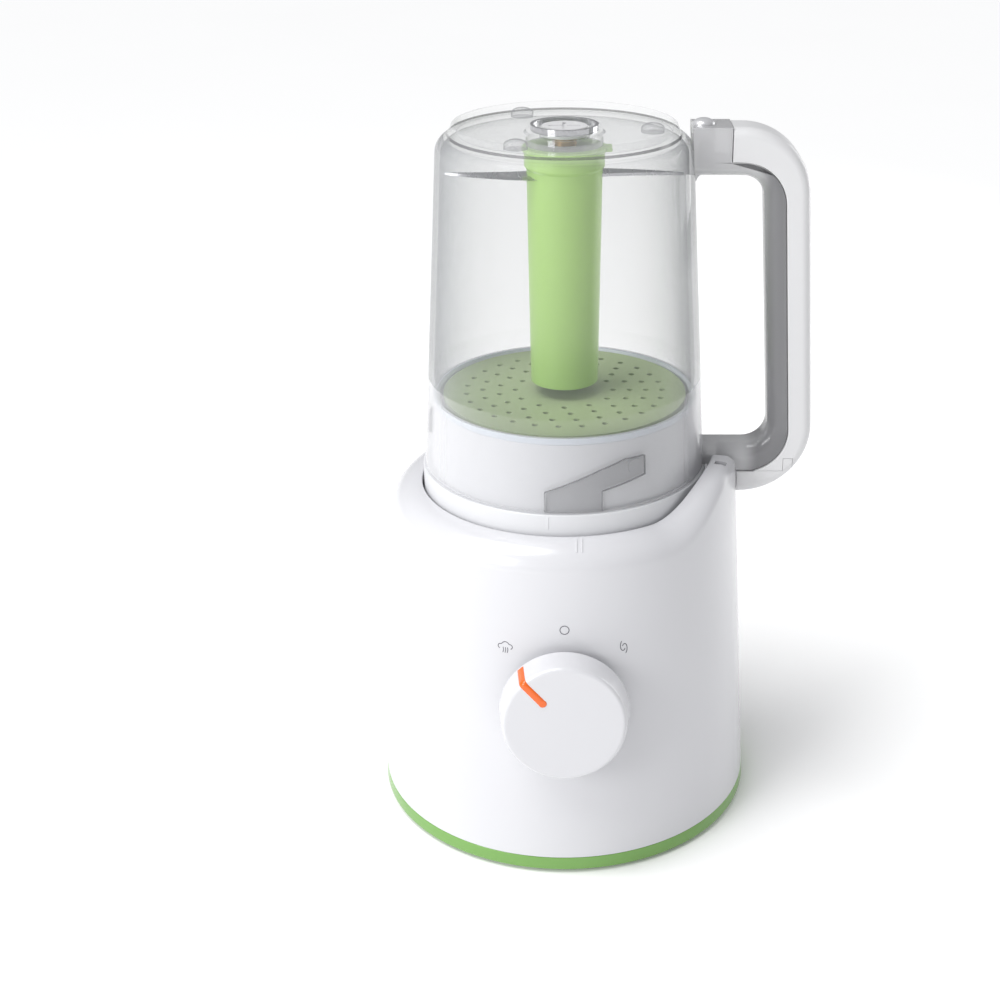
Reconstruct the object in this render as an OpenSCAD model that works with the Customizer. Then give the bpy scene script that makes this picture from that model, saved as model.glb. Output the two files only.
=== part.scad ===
// Baby food maker: steamer base, upturned blending jar on its lid, handle, knob and motor.
// Millimetres. Z is up, the axis of the jar and the base is the Z axis, the floor is z = 0.
// The knob faces -Y and the handle points along +X.

/* [Base] */
// Outer radius of the base at the top of its green ring
base_r = 83.7; // [82:0.1:86]
// Outer radius of the base where the shoulder starts
shoulder_r = 76; // [75:0.1:77]
// Height at which the shoulder starts
shoulder_z = 138.4; // [137:0.1:139]
// Height of the low rim that the jar sits in
rim_z = 151.3; // [150.8:0.1:151.6]
// Thickness of the housing's wall
base_wall = 2.5; // [2:0.1:3]
// Height of the green ring's top edge
ring_top_z = 7.7; // [6:0.1:10]

/* [Horn] */
// Height of the raised wall in front of the handle
horn_z = 166; // [165:0.1:167]
// Bearing at which the swoop leaves the low rim
swoop_az = -56; // [-60:1:-54]
// Radius of the swoop
swoop_r = 50; // [45:1:56]

/* [Knob] */
// Radius of the knob's face
knob_face_r = 25.1; // [22:0.1:27]
// Radius of the knob's rim
knob_rim_r = 27.2; // [25:0.1:28]
// How far the knob's face stands off the wall
knob_len = 15.4; // [12:0.1:17]
// Height of the knob's centre on the wall
knob_z = 80.7; // [76:0.1:86]
// Angle of the pointer to the left of upright
pointer_deg = 42; // [0:1:60]

/* [Jar] */
// Outer radius of the jar's skirt at its lower edge
skirt_r = 60.6; // [60:0.1:61]
// Height of the skirt's lower edge
skirt_z = 160.3; // [160:0.1:161]
// Outer radius of the jar near its closed end
jar_top_r = 52.6; // [52.4:0.1:52.8]
// Height at which the jar's corner starts
corner_z = 294.2; // [294:0.1:294.6]
// Height of the jar's closed end
jar_top_z = 305.5; // [305.5:0.1:307]
// Thickness of the jar's wall
jar_wall = 2.4; // [2:0.1:2.6]

/* [Lid] */
// Outer radius of the lid's flange
flange_r = 61.5; // [61:0.1:61.7]
// Height of the top of the lid's wall
lid_top_z = 188.6; // [187:0.1:190]
// Radius of the three bayonet lugs
lug_r = 3.3; // [2.5:0.1:3.5]
// Turn that frees the jar from the lid, in degrees
lid_turn_deg = 20; // [19:0.5:21]
// Rise of the jar while it turns on the lid
lid_rise = 5.5; // [5:0.1:6]

/* [Blades] */
// Outer radius of the green tube at its upper end
tube_r = 15.5; // [14:0.1:16]
// Reach of the blades from the axis
blade_reach = 48.5; // [40:0.5:48.5]
// Height of the underside of the blades
blade_z = 284; // [282:0.5:286]

/* [Handle] */
// Width of the white grip
grip_w = 20; // [16:0.5:21]
// Width of the grey frame
frame_w = 18; // [14:0.5:18]
// Width of the push rod inside the frame
rod_w = 4; // [3:0.5:4.5]

/* [Hidden] */
$fn = 96;

tiny = 0.01;
big = 400;
// slack of a running fit, and the free gap between pieces that slide past each other
run = 0.05;
gap = 0.3;

// base
wall_slope = (base_r - shoulder_r) / (shoulder_z - ring_top_z);
wall_deg = atan(wall_slope);
shoulder_round = rim_z - shoulder_z;
lip_r = shoulder_r - shoulder_round + 0.5;
seat_r = 62.2;
collar_r = 64.4;
seat_top_z = 142;
seat_t = 2.5;
plate_z = 2.2;
plate_top_z = 5;
plate_r = 81;
foot_r = 7;
foot_ring_r = 62;
screw_ring_r = 76.4;
screw_r = 1.6;
boss_r = 4.5;

// horn
horn_face_y = -10.5;
horn_in_r = 64;
swoop_tilt = 33;
plunger_az = -17;
plunger_at_r = 69;
plunger_r = 1.6;
plunger_low_z = 130;
collar_z = 138;
switch_block_r = 70;

// steam and water
tank_in_r = 40;
tank_out_r = 70;
tank_z = 52;
tank_top_z = 115;
tank_wall = 1.5;
tank_az = 38;
pipe_r = 4;
pipe_at_r = 42;
heater_r = 3.5;
heater_leg_r = 4.5;
heater_at_r = 56;
gland_r = 5;
cap_axis_deg = 35;
cap_at_z = 124;
cap_bore_r = 9;
cap_boss_r = 12.5;
cap_boss_out = 9.5;
cap_boss_in = 8;

// motor
shaft_r = 2.5;
stator_w = 54;
stator_z = 48;
stator_h = 30;
stator_bore_r = 16;
coil_w = 7;
coil_len = 34;
coil_x = 20.5;
bearing_r = 5;
bearing_h = 3;
low_bearing_z = 40;
high_bearing_z = 83;
post_at = 22;
post_r = 4.5;

// lid
flange_low_z = 146.4;
flange_top_z = skirt_z - gap;
lid_floor_z = 150.6;
lid_floor_t = 2.2;
lid_wall_r = 57.8;
lid_wall_top_r = 55.9;
lid_t = 2.2;
lug_z = 177;
lug_az = -60;
lug_count = 3;
ledge_z = 184;
steam_hole_at_r = 38;

// jar
jar_slope = (skirt_r - jar_top_r) / (291 - skirt_z);
jar_deg = atan(jar_slope);
corner_round = 7;
ridge_r = 45.7;
shelf_z = 191.6;
skirt_slack = 0.5;
end_z = 301.7;
end_t = 2.5;
boss_out_r = 15.7;
neck_r = 13.8;
recess_r = 10.2;
bush_r = 5;
blade_shaft_r = 3;
blade_t = 1.2;
foot_at_r = 35.5;
jar_foot_r = 4.7;

// sieve
sieve_r = 52;
sieve_top_z = 191;
sieve_plate_t = 1.6;

// handle
lean = 0.0634;
grip_top_z = jar_top_z - 0.5;
box_x = 67;
strip_z = 291.4;
arm_under_z = 285;
bar_w = 8.4;
grip_x = 105.9;
grip_x_z = 178;
outer_round = 28;
low_round = 30;
arm_top_z = 168.6;
arm_low_z = 156.9;
cap_low_z = 146.5;
seam_z = 157.2;
seam_x = 82;
dome_x = 55.8;
dome_r = 4.7;
stem_x = 57.2;
stem_r = 1.8;
spring_r = 3.1;
rod_t = 2.6;
rod_travel = 2.5;
spring_top_z = 296.9;

function base_out_r(z) = base_r - (z - ring_top_z) * wall_slope;
function jar_out_r(z) = skirt_r - (z - skirt_z) * jar_slope;
function lid_out_r(z) =
    lid_wall_r - (z - flange_top_z) * (lid_wall_r - lid_wall_top_r) / (lid_top_z - flange_top_z);
function outer_x(z) = grip_x - (z - grip_x_z) * lean;
function split_x(z) = outer_x(z) - 10.2;
function inner_x(z) = split_x(z) - bar_w;
function arc(cx, cy, r, from, to, n) = [for (i = [0:n])
    [cx + r * cos(from + (to - from) * i / n), cy + r * sin(from + (to - from) * i / n)]];

// Path of the push rod in the handle's plane, from the stem down to the tongue at the lid
rod_path = [[stem_x, 291], [80.5, 291], [86, 284], [90.9, 184], [91.4, 170], [87, 164], [66.5, 164]];

module ring(r1, r2, z1, z2) {
    difference() {
        translate([0, 0, z1]) cylinder(r = r2, h = z2 - z1);
        translate([0, 0, z1 - 1]) cylinder(r = r1, h = z2 - z1 + 2);
    }
}

module sector(r1, r2, a1, a2, z1, z2) {
    rotate([0, 0, a1])
        rotate_extrude(angle = a2 - a1)
            translate([r1, z1]) square([r2 - r1, z2 - z1]);
}

module at(az, r, z = 0) {
    rotate([0, 0, az]) translate([r, 0, z]) children();
}

// Frame of the knob: local +Z is the wall's outward normal
module knob_frame() {
    translate([0, -base_out_r(knob_z), knob_z]) rotate([90 - wall_deg, 0, 0]) children();
}

// Frame of the tank's cap: local +Z is the way the cap comes out
module cap_frame() {
    translate([0, base_out_r(cap_at_z), cap_at_z]) rotate([cap_axis_deg - 90, 0, 0]) children();
}

// Unit vector to the left of the way from p to q
function left(p, q) = [p[1] - q[1], q[0] - p[0]] / norm(q - p);

// Point of a mitred band's edge at distance d to the left of point i of a path
function mitre(path, i, d) =
    let (a = left(path[max(i - 1, 0)], path[max(i, 1)]),
        last = len(path) - 1,
        b = left(path[min(i, last - 1)], path[min(i + 1, last)]))
    path[i] + d * (a + b) / (1 + a * b);

// Band of width w along a path
module band2d(path, w) {
    last = len(path) - 1;
    polygon(concat([for (i = [0:last]) mitre(path, i, w / 2)],
        [for (i = [0:last]) mitre(path, last - i, -w / 2)]));
}

// Extrudes a drawing of the handle's side view across Y
module side(w) {
    rotate([90, 0, 0]) translate([0, 0, -w / 2]) linear_extrude(w) children();
}

// ---- base

module housing_shell() {
    r_low = base_r - base_wall;
    rotate_extrude() polygon(concat(
        [[r_low, ring_top_z], [base_r, ring_top_z]],
        arc(lip_r, shoulder_z, shoulder_round, 0, 90, 10),
        [[seat_r, rim_z - 0.6], [seat_r, seat_top_z], [collar_r, seat_top_z]],
        arc(lip_r, shoulder_z, shoulder_round - base_wall, 88, 0, 8)));
}

module horn() {
    low_az = swoop_az - 6;
    difference() {
        rotate([0, 0, low_az]) rotate_extrude(angle = -low_az) polygon(concat(
            arc(lip_r, shoulder_z, shoulder_round - base_wall / 2, 88, 4, 8),
            [[base_out_r(horn_z - 10), horn_z - 10]],
            arc(base_out_r(horn_z - 10) - 9.5, horn_z - 10, 9.5, 8, 90, 8),
            [[horn_in_r, horn_z - 0.8]]));
        at(swoop_az, 64, rim_z + swoop_r) rotate([0, 90 + swoop_tilt, 0])
            translate([0, 0, -40]) cylinder(r = swoop_r, h = 80);
        translate([40, horn_face_y, 130]) cube([60, 90, 50]);
        sector(66.6, 71, -32, -12, rim_z - 2, horn_z - 4.5);
    }
}

module base_housing() color("whitesmoke") {
    difference() {
        union() {
            housing_shell();
            horn();
            intersection() {
                knob_frame() translate([0, 0, -5]) cylinder(r = 24.5, h = 7.2);
                translate([0, -84, knob_z]) cube([60, 24, 60], center = true);
            }
            for (i = [0:3]) at(45 + 90 * i, screw_ring_r, plate_top_z) cylinder(r = boss_r, h = 24);
            at(plunger_az, switch_block_r, 112) translate([0, -8, 0]) cube([6, 16, 14]);
            cap_frame() translate([0, 0, -cap_boss_in])
                cylinder(r = cap_boss_r, h = cap_boss_in + cap_boss_out);
        }
        knob_frame() translate([0, 0, -10]) cylinder(r = blade_shaft_r + run, h = 20);
        for (i = [0:3]) at(45 + 90 * i, screw_ring_r, 0) cylinder(r = screw_r + run, h = 18);
        at(plunger_az, plunger_at_r, 120) cylinder(r = 3.3, h = 20.2);
        at(plunger_az, plunger_at_r, 130) cylinder(r = plunger_r + run, h = 42);
        at(plunger_az, plunger_at_r + 0.5, horn_z - 1) cube([5, 3.4, 6], center = true);
        cap_frame() translate([0, 0, -20]) cylinder(r = cap_bore_r, h = 40);
        translate([0, 60, 20]) rotate([-90, 0, 0]) cylinder(r = gland_r + run, h = 40);
    }
}

module base_ring() color("yellowgreen") {
    r_low = base_r + 0.5;
    in_r = base_r - base_wall;
    rotate_extrude() polygon([[in_r, 1.5], [r_low - 1, 1.5], [r_low, 2.5], [base_r, ring_top_z],
        [in_r, ring_top_z]]);
}

module base_plate() color("dimgray") {
    difference() {
        union() {
            translate([0, 0, plate_z]) cylinder(r = plate_r, h = plate_top_z - plate_z);
            for (x = [-1, 1], y = [-1, 1])
                translate([x * post_at, y * post_at, plate_top_z])
                    cylinder(r = post_r, h = low_bearing_z - plate_top_z);
        }
        for (i = [0:3]) at(45 + 90 * i, screw_ring_r, 0) {
            cylinder(r = screw_r + 0.2, h = 10);
            cylinder(r = 4, h = plate_z + 1.6);
        }
        for (i = [-4:4]) translate([i * 7, 0, 0]) cube([3, 30, 20], center = true);
    }
}

module rubber_feet() color("darkslategray") {
    for (i = [0:3]) at(90 * i, foot_ring_r) cylinder(r = foot_r, h = plate_z);
}

module base_screws() color("silver") {
    for (i = [0:3]) at(45 + 90 * i, screw_ring_r) difference() {
        union() {
            translate([0, 0, plate_z + 0.2]) cylinder(r = 3.8, h = 1.4);
            translate([0, 0, plate_z + 1.6]) cylinder(r = screw_r, h = 12);
        }
        translate([0, 0, plate_z]) cube([5, 0.9, 2], center = true);
        translate([0, 0, plate_z]) cube([0.9, 5, 2], center = true);
    }
}

module jar_seat() color("white") {
    difference() {
        union() {
            ring(6, collar_r - tiny, seat_top_z - seat_t, seat_top_z);
            ring(6, 8, seat_top_z - tiny, seat_top_z + 2);
        }
        at(90, pipe_at_r, 130) cylinder(r = pipe_r, h = 20);
        for (i = [0:5]) at(30 + 60 * i, 20, 130) cylinder(r = 1.5, h = 20);
    }
}

module seat_seals() color("lightgray") {
    for (r = [30, 49]) rotate_extrude() polygon([[r - 1.6, seat_top_z], [r, seat_top_z],
        [r + 0.4, lid_floor_z - gap], [r - 0.4, lid_floor_z - gap]]);
}

module steam_pipe() color("silver") {
    at(90, pipe_at_r, tank_top_z + 2) difference() {
        union() {
            cylinder(r = pipe_r, h = seat_top_z - tank_top_z + 0.6);
            cylinder(r = 7, h = 1.6);
        }
        translate([0, 0, -1]) cylinder(r = pipe_r - 1.2, h = 60);
    }
}

module boiler_tank() color("silver") {
    inset_deg = 1.6;
    difference() {
        sector(tank_in_r, tank_out_r, tank_az, 180 - tank_az, tank_z, tank_top_z);
        sector(tank_in_r + tank_wall, tank_out_r - tank_wall, tank_az + inset_deg, 180 - tank_az - inset_deg,
            tank_z + tank_wall, tank_top_z + 1);
        for (az = [55, 125]) at(az, heater_at_r, tank_z - 1) cylinder(r = heater_leg_r, h = 4);
    }
}

module tank_cover() color("gainsboro") {
    difference() {
        union() {
            sector(tank_in_r, tank_out_r, tank_az, 180 - tank_az, tank_top_z, tank_top_z + 2);
            difference() {
                cap_frame() translate([0, 0, -25]) cylinder(r = cap_boss_r - 1.5, h = 25 - cap_boss_in);
                translate([-50, 0, 0]) cube([100, 100, tank_top_z + 1]);
            }
        }
        cap_frame() translate([0, 0, -40]) cylinder(r = cap_bore_r, h = 50);
        at(90, pipe_at_r, 100) cylinder(r = pipe_r - 1.2, h = 30);
    }
}

module heating_element() color("dimgray") {
    rotate([0, 0, 55]) rotate_extrude(angle = 70)
        translate([heater_at_r, tank_z + 9]) circle(r = heater_r);
    for (az = [55, 125]) at(az, heater_at_r, tank_z - 8) cylinder(r = heater_leg_r, h = 22);
}

module thermostat() color("black") {
    at(90, heater_at_r, tank_z - 6) cylinder(r = 8, h = 6);
    for (s = [-1, 1])
        at(90, heater_at_r, tank_z - 11) translate([0, 4 * s, 2.5]) cube([1, 3, 5], center = true);
}

module motor_stator() color("slategray") {
    translate([0, 0, stator_z]) linear_extrude(stator_h) difference() {
        square(stator_w, center = true);
        circle(r = stator_bore_r);
        for (s = [-1, 1]) translate([s * coil_x, 0]) square([coil_w, coil_len], center = true);
    }
}

module motor_coils() color("peru") {
    for (s = [-1, 1]) translate([s * coil_x, 0, stator_z + stator_h / 2])
        cube([coil_w, coil_len, stator_h + 12], center = true);
}

// Bearing bridge across the motor, with legs towards the stator
module bracket(z, leg_z) {
    difference() {
        union() {
            translate([-7, -stator_w / 2, z]) cube([14, stator_w, bearing_h]);
            for (s = [-1, 1]) translate([-7, s * 24 - 3, leg_z]) cube([14, 6, 5]);
        }
        translate([0, 0, z - 10]) cylinder(r = bearing_r, h = 30);
    }
}

module lower_bracket() color("darkgray") bracket(low_bearing_z, stator_z - 5);

module upper_bracket() color("darkgray") bracket(high_bearing_z, stator_z + stator_h);

module motor_bearings() color("goldenrod") {
    ring(shaft_r + run, bearing_r, low_bearing_z, low_bearing_z + bearing_h);
    ring(shaft_r + run, bearing_r, high_bearing_z, high_bearing_z + bearing_h);
}

module motor_mounts() color("darkslategray") {
    for (x = [-1, 1], y = [-1, 1]) translate([x * post_at, y * post_at, low_bearing_z])
        cylinder(r = post_r, h = stator_z - low_bearing_z);
}

module rotary_switch() color("black") {
    knob_frame() difference() {
        union() {
            translate([-14, -14, -24]) cube([28, 28, 16]);
            translate([0, 0, -8]) cylinder(r = 5.5, h = 3);
        }
        translate([0, 0, -18]) cylinder(r = blade_shaft_r + run, h = 20);
    }
}

module cord_gland() color("dimgray") {
    translate([0, 0, 20]) rotate([-90, 0, 0]) difference() {
        union() {
            translate([0, 0, 74]) cylinder(r = gland_r, h = 15);
            translate([0, 0, 84.5]) cylinder(r = 7.5, h = 2.5);
            translate([0, 0, 76]) cylinder(r = 7, h = 2);
        }
        translate([0, 0, 60]) cylinder(r = 3.2, h = 40);
    }
}

module terminal_block() color("ivory") {
    difference() {
        translate([-13, 52, plate_top_z]) cube([26, 12, 12]);
        for (i = [-1:1]) translate([i * 8, 58, 10]) cylinder(r = 2.2, h = 20);
    }
}

module control_board() color("darkgreen") {
    translate([-62, -24, 16]) cube([1.6, 44, 60]);
    translate([-60.4, -16, 24]) cube([12, 16, 20]);
    translate([-60.4, 6, 48]) cube([9, 10, 14]);
    translate([-60.4, -20, 56]) rotate([0, 90, 0]) cylinder(r = 5, h = 11);
    for (y = [-22, 14]) translate([-62, y, plate_top_z]) cube([1.6, 6, 11]);
}

module lock_switch() color("black") {
    at(plunger_az, switch_block_r - 8, 112) translate([0, -8, 0]) cube([8, 16, 14]);
    at(plunger_az, plunger_at_r - 4, 126) translate([-1.5, -4, 0]) cube([3, 3, 0.7]);
}

module plunger_spring() color("silver") {
    at(plunger_az, plunger_at_r) ring(plunger_r + 0.3, 2.8, 126.6, collar_z);
}

module switch_plunger() color("white") {
    at(plunger_az, plunger_at_r, plunger_low_z) cylinder(r = plunger_r, h = horn_z - 2.5 - plunger_low_z - 1);
    at(plunger_az, plunger_at_r, collar_z) cylinder(r = 3, h = 1.5);
}

// ---- knob

module knob_outer() {
    rotate_extrude() polygon([[0, 3], [knob_rim_r, 3], [knob_rim_r, 4], [knob_face_r + 0.5, knob_len - 2],
        [knob_face_r - 0.3, knob_len - 0.7], [knob_face_r - 1.3, knob_len], [0, knob_len]]);
}

module knob_core() {
    rotate_extrude() polygon([[0, 2], [knob_rim_r - 1.6, 2], [knob_face_r - 1.1, knob_len - 1.4],
        [0, knob_len - 1.4]]);
}

module pointer_slot(w) {
    rotate([0, 0, 90 + pointer_deg]) translate([12.3, -w / 2, 2]) cube([30, w, knob_len]);
}

module knob() color("white") {
    knob_frame() difference() {
        union() {
            difference() {
                knob_outer();
                translate([0, 0, -1.6]) knob_core();
            }
            translate([0, 0, 3]) cylinder(r = 6, h = knob_len - 5);
        }
        difference() {
            pointer_slot(3.4);
            knob_core();
        }
        cylinder(r = blade_shaft_r, h = 11);
    }
}

module knob_pointer() color("orangered") {
    knob_frame() difference() {
        intersection() {
            knob_outer();
            pointer_slot(3.4);
        }
        knob_core();
    }
}

module knob_shaft() color("silver") {
    knob_frame() translate([0, 0, -17]) cylinder(r = blade_shaft_r, h = 28);
}

// ---- motor rotor

module rotor() color("slategray") {
    difference() {
        union() {
            translate([0, 0, stator_z + 1]) cylinder(r = stator_bore_r - 0.5, h = stator_h - 2);
            translate([0, 0, stator_z - 3]) cylinder(r = 12, h = stator_h + 6);
        }
        translate([0, 0, stator_z - 5]) cylinder(r = shaft_r, h = 60);
    }
}

module motor_shaft() color("silver") {
    translate([0, 0, 19]) cylinder(r = shaft_r, h = 129);
}

module cooling_fan() color("dimgray") {
    difference() {
        union() {
            translate([0, 0, 22]) cylinder(r = 6, h = 11);
            translate([0, 0, 31.5]) cylinder(r = 24, h = 1.5);
            for (i = [0:8]) rotate([0, 0, 40 * i]) translate([5, -0.8, 23]) cube([18, 1.6, 9]);
        }
        translate([0, 0, 10]) cylinder(r = shaft_r, h = 40);
    }
}

module drive_coupling() color("dimgray") {
    difference() {
        union() {
            translate([0, 0, 144.4]) cylinder(r = 7, h = 5.2);
            for (i = [0:3]) rotate([0, 0, 90 * i]) translate([5, -1.5, 146]) cube([4, 3, 3.6]);
        }
        translate([0, 0, 140]) cylinder(r = shaft_r, h = 8);
    }
}

// ---- lock ring and lid

module lock_ring() color("lightgray") {
    difference() {
        ring(53, seat_r - gap, seat_top_z + gap, flange_low_z - gap);
        for (i = [0:2]) rotate([0, 0, 30 + 120 * i]) translate([55.5, -8.4, 140]) cube([10, 16.8, 20]);
    }
}

module lid() color("white") {
    difference() {
        union() {
            rotate_extrude() polygon([[0, lid_floor_z], [flange_r - lid_t, lid_floor_z],
                [flange_r - lid_t, flange_low_z], [flange_r, flange_low_z], [flange_r, flange_top_z],
                [lid_wall_r, flange_top_z], [lid_wall_top_r, lid_top_z], [lid_wall_top_r - lid_t, lid_top_z],
                [lid_out_r(ledge_z) - lid_t, ledge_z], [50.5, ledge_z], [50.5, ledge_z - 2],
                [lid_out_r(ledge_z - 5) - lid_t, ledge_z - 5],
                [lid_wall_r - lid_t, lid_floor_z + lid_floor_t], [0, lid_floor_z + lid_floor_t]]);
            for (i = [0:2]) rotate([0, 0, 30 + 120 * i]) intersection() {
                ring(57.5, flange_r - 0.5, seat_top_z + 2 * gap, flange_low_z + 5);
                translate([50, -8, 130]) cube([20, 16, 40]);
            }
            for (i = [0:lug_count - 1]) at(lug_az + 120 * i, lid_out_r(lug_z) - 1.2, lug_z)
                rotate([0, 90, 0]) cylinder(r = lug_r, h = 2.45);
        }
        for (i = [0:7]) at(45 * i, steam_hole_at_r, 140) cylinder(r = 2.2, h = 20);
    }
}

module lid_seal() color("aliceblue") {
    rotate_extrude() polygon([[lid_wall_top_r - lid_t, lid_top_z], [lid_wall_top_r, lid_top_z],
        [lid_wall_top_r + 0.2, shelf_z - gap], [lid_wall_top_r - 1.2, shelf_z - gap],
        [lid_wall_top_r - lid_t, shelf_z - 1.4]]);
}

module sieve() color("lightgreen") {
    difference() {
        union() {
            translate([0, 0, sieve_top_z - sieve_plate_t]) cylinder(r = sieve_r, h = sieve_plate_t);
            ring(49.6, 51.6, ledge_z + gap, sieve_top_z - sieve_plate_t + tiny);
        }
        for (k = [0:3]) let (r = 21 + 7 * k, n = 12 + 5 * k)
            for (i = [0:n - 1]) at(360 * i / n, r, 180) cylinder(r = 1.3, h = 20);
    }
}

// ---- jar

module jar_solid() {
    rotate_extrude() polygon(concat([[0, skirt_z], [skirt_r, skirt_z]],
        arc(jar_out_r(corner_z) - corner_round / cos(jar_deg), corner_z, corner_round, jar_deg, 70, 8),
        [[ridge_r, jar_top_z - 0.4], [ridge_r - 0.4, jar_top_z], [ridge_r - 1.4, jar_top_z],
            [ridge_r - 2.2, end_z], [0, end_z]]));
}

module jar_hollow() {
    in_top_r = jar_out_r(290) - jar_wall;
    top_z = end_z - end_t;
    rotate_extrude() polygon(concat(
        [[0, skirt_z - 1], [lid_wall_r + skirt_slack, skirt_z - 1], [lid_wall_r + skirt_slack, skirt_z],
            [lid_wall_top_r + skirt_slack + 0.1, shelf_z], [54.9, shelf_z], [jar_out_r(200) - jar_wall, 200]],
        arc(in_top_r - 6, top_z - 6, 6, 5, 90, 6),
        [[0, top_z]]));
}

// The bayonet groove of one lug: a wide entry open at the skirt's edge, then a climb up to the
// lug at bearing 0
module lug_groove() {
    play = lug_r + 0.8;
    low_z = skirt_z - 2;
    high_z = lug_z + 10;
    entry_z = lug_z - lid_rise * 15 / lid_turn_deg;
    edge = [[-38, low_z], [-38, 168.8], [-15, 178], [-5, lug_z + play], [4.2, lug_z + play],
        [4.2, lug_z - play], [-15, entry_z - play], [-15, low_z]];
    intersection() {
        translate([0, 0, low_z]) cylinder(r1 = jar_out_r(low_z) - 0.9, r2 = jar_out_r(high_z) - 0.9,
            h = high_z - low_z);
        rotate([90, 0, 90]) linear_extrude(70) polygon([for (p = edge) [58 * sin(p[0]), p[1]]]);
    }
}

module jar() color("lightsteelblue", 0.4) {
    difference() {
        union() {
            difference() {
                jar_solid();
                jar_hollow();
                for (i = [0:lug_count - 1]) rotate([0, 0, lug_az + 120 * i]) lug_groove();
            }
            translate([0, 0, 296.8]) cylinder(r = boss_out_r, h = 5.2);
            translate([0, 0, end_z]) cylinder(r1 = boss_out_r, r2 = neck_r, h = 3.3);
        }
        translate([0, 0, 299.8]) cylinder(r = recess_r, h = 20);
        translate([0, 0, 290]) cylinder(r = bush_r, h = 20);
        ring(12.6, 20, jar_top_z - 3, jar_top_z + 2);
    }
}

module coupling_ring() color("silver") {
    ring(12.6, neck_r, jar_top_z - 3, jar_top_z - 0.5);
}

module shaft_bush() color("goldenrod") {
    ring(blade_shaft_r + run, bush_r, 296.8, 299.8);
}

module jar_feet() color("lightsteelblue") {
    for (az = [0, 120, 238]) at(az, foot_at_r, end_z) {
        cylinder(r = jar_foot_r, h = 2.4);
        translate([0, 0, 2.4]) cylinder(r1 = jar_foot_r, r2 = jar_foot_r - 1.6, h = 1.2);
    }
}

// ---- handle

module outline_all() {
    top_c = 277;
    polygon(concat([[40, grip_top_z]],
        arc(outer_x(top_c) - outer_round, top_c, outer_round, 90, 3, 14),
        arc(outer_x(176.6) - low_round, 176.6, low_round, 3, -90, 16),
        [[74.8, cap_low_z], [74.8, 160], [40, 160]]));
}

module outline_frame() {
    top_c = 272.8;
    low_c = 175;
    round_r = 18.3;
    polygon(concat([[40, grip_top_z], [box_x, grip_top_z], [box_x, strip_z]],
        arc(split_x(top_c) - round_r, top_c, round_r + 0.2, 90, 3, 12),
        arc(split_x(low_c) - round_r, low_c, round_r, 3, -84, 12),
        [[80, arm_low_z], [40, arm_low_z]]));
}

module finger_gap() {
    top_c = arm_under_z - 9;
    low_c = arm_top_z + 10;
    polygon(concat([[30, arm_under_z]],
        arc(inner_x(top_c) - 9, top_c, 9, 90, 3, 8),
        arc(inner_x(low_c) - 10, low_c, 10, 3, -90, 8),
        [[30, arm_top_z]]));
}

// Everything above the seam between the grip and the end cap
module above_seam() {
    polygon([[60, seam_z], [94.3, seam_z], [94.3, 163], [98.5, 163], [98.5, 158.7], [130, 158.7],
        [130, 320], [60, 320]]);
}

// Room for the push rod and its travel
module rod_channel() {
    side(rod_w + 0.8) translate([0, -rod_travel / 2]) band2d(rod_path, rod_t + 0.7 + rod_travel);
}

// The space of the jar and the lid, which the handle stays out of
module jar_space() {
    top_z = jar_top_z + 5;
    translate([0, 0, skirt_z - 2])
        cylinder(r1 = jar_out_r(skirt_z - 2), r2 = jar_out_r(top_z), h = top_z - skirt_z + 2);
    translate([0, 0, 150]) cylinder(r = flange_r + 0.9, h = skirt_z - 150);
}

module handle_frame() color("gray") {
    difference() {
        side(frame_w) difference() {
            outline_frame();
            finger_gap();
        }
        jar_space();
        rod_channel();
        translate([dome_x, 0, 298.9]) cylinder(r = dome_r + gap, h = 10);
        translate([stem_x, 0, 290]) cylinder(r = stem_r + run, h = 10);
        translate([stem_x, 0, 287.2]) cylinder(r = spring_r + gap, h = spring_top_z - 287.2);
    }
}

module handle_grip() color("white") {
    difference() {
        side(grip_w) difference() {
            intersection() {
                outline_all();
                above_seam();
            }
            outline_frame();
            finger_gap();
            polygon([[40, 157], [40, 320], [box_x, 320], [box_x, 157]]);
        }
        rod_channel();
    }
}

module handle_end_cap() color("white") {
    side(grip_w) difference() {
        outline_all();
        above_seam();
        polygon([[40, arm_low_z], [40, 320], [seam_x, 320], [seam_x, arm_low_z]]);
        outline_frame();
    }
}

module push_rod() color("gray") {
    side(rod_w) band2d(rod_path, rod_t);
    translate([stem_x, 0, 291]) cylinder(r = stem_r, h = 12);
    translate([stem_x, 0, 291]) cylinder(r = spring_r, h = 2.4);
    translate([dome_x, 0, 301.5]) cylinder(r = dome_r, h = 4.2);
    translate([dome_x, 0, 305.7]) cylinder(r1 = dome_r, r2 = 3.4, h = 1);
    translate([dome_x, 0, 306.7]) cylinder(r1 = 3.4, r2 = 1.4, h = 0.7);
}

module rod_spring() color("silver") {
    translate([stem_x, 0, 0]) ring(stem_r + gap, spring_r - 0.1, 293.4, spring_top_z);
}

// ---- blade unit

module blade_hub() color("yellowgreen") {
    difference() {
        union() {
            translate([0, 0, 294.4]) cylinder(r = 17.4, h = 1.6);
            translate([0, 0, 288]) cylinder(r = 16.4, h = 6.5);
            translate([0, 0, 196]) cylinder(r1 = 14.3, r2 = tube_r, h = 92);
            translate([13, -4, 294.4]) cube([6.5, 8, 1.6]);
        }
        translate([0, 0, 190]) cylinder(r1 = 12.3, r2 = 13.3, h = 88);
        cylinder(r = blade_shaft_r, h = big);
        translate([0, 0, blade_z]) blade_solid();
    }
}

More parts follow.
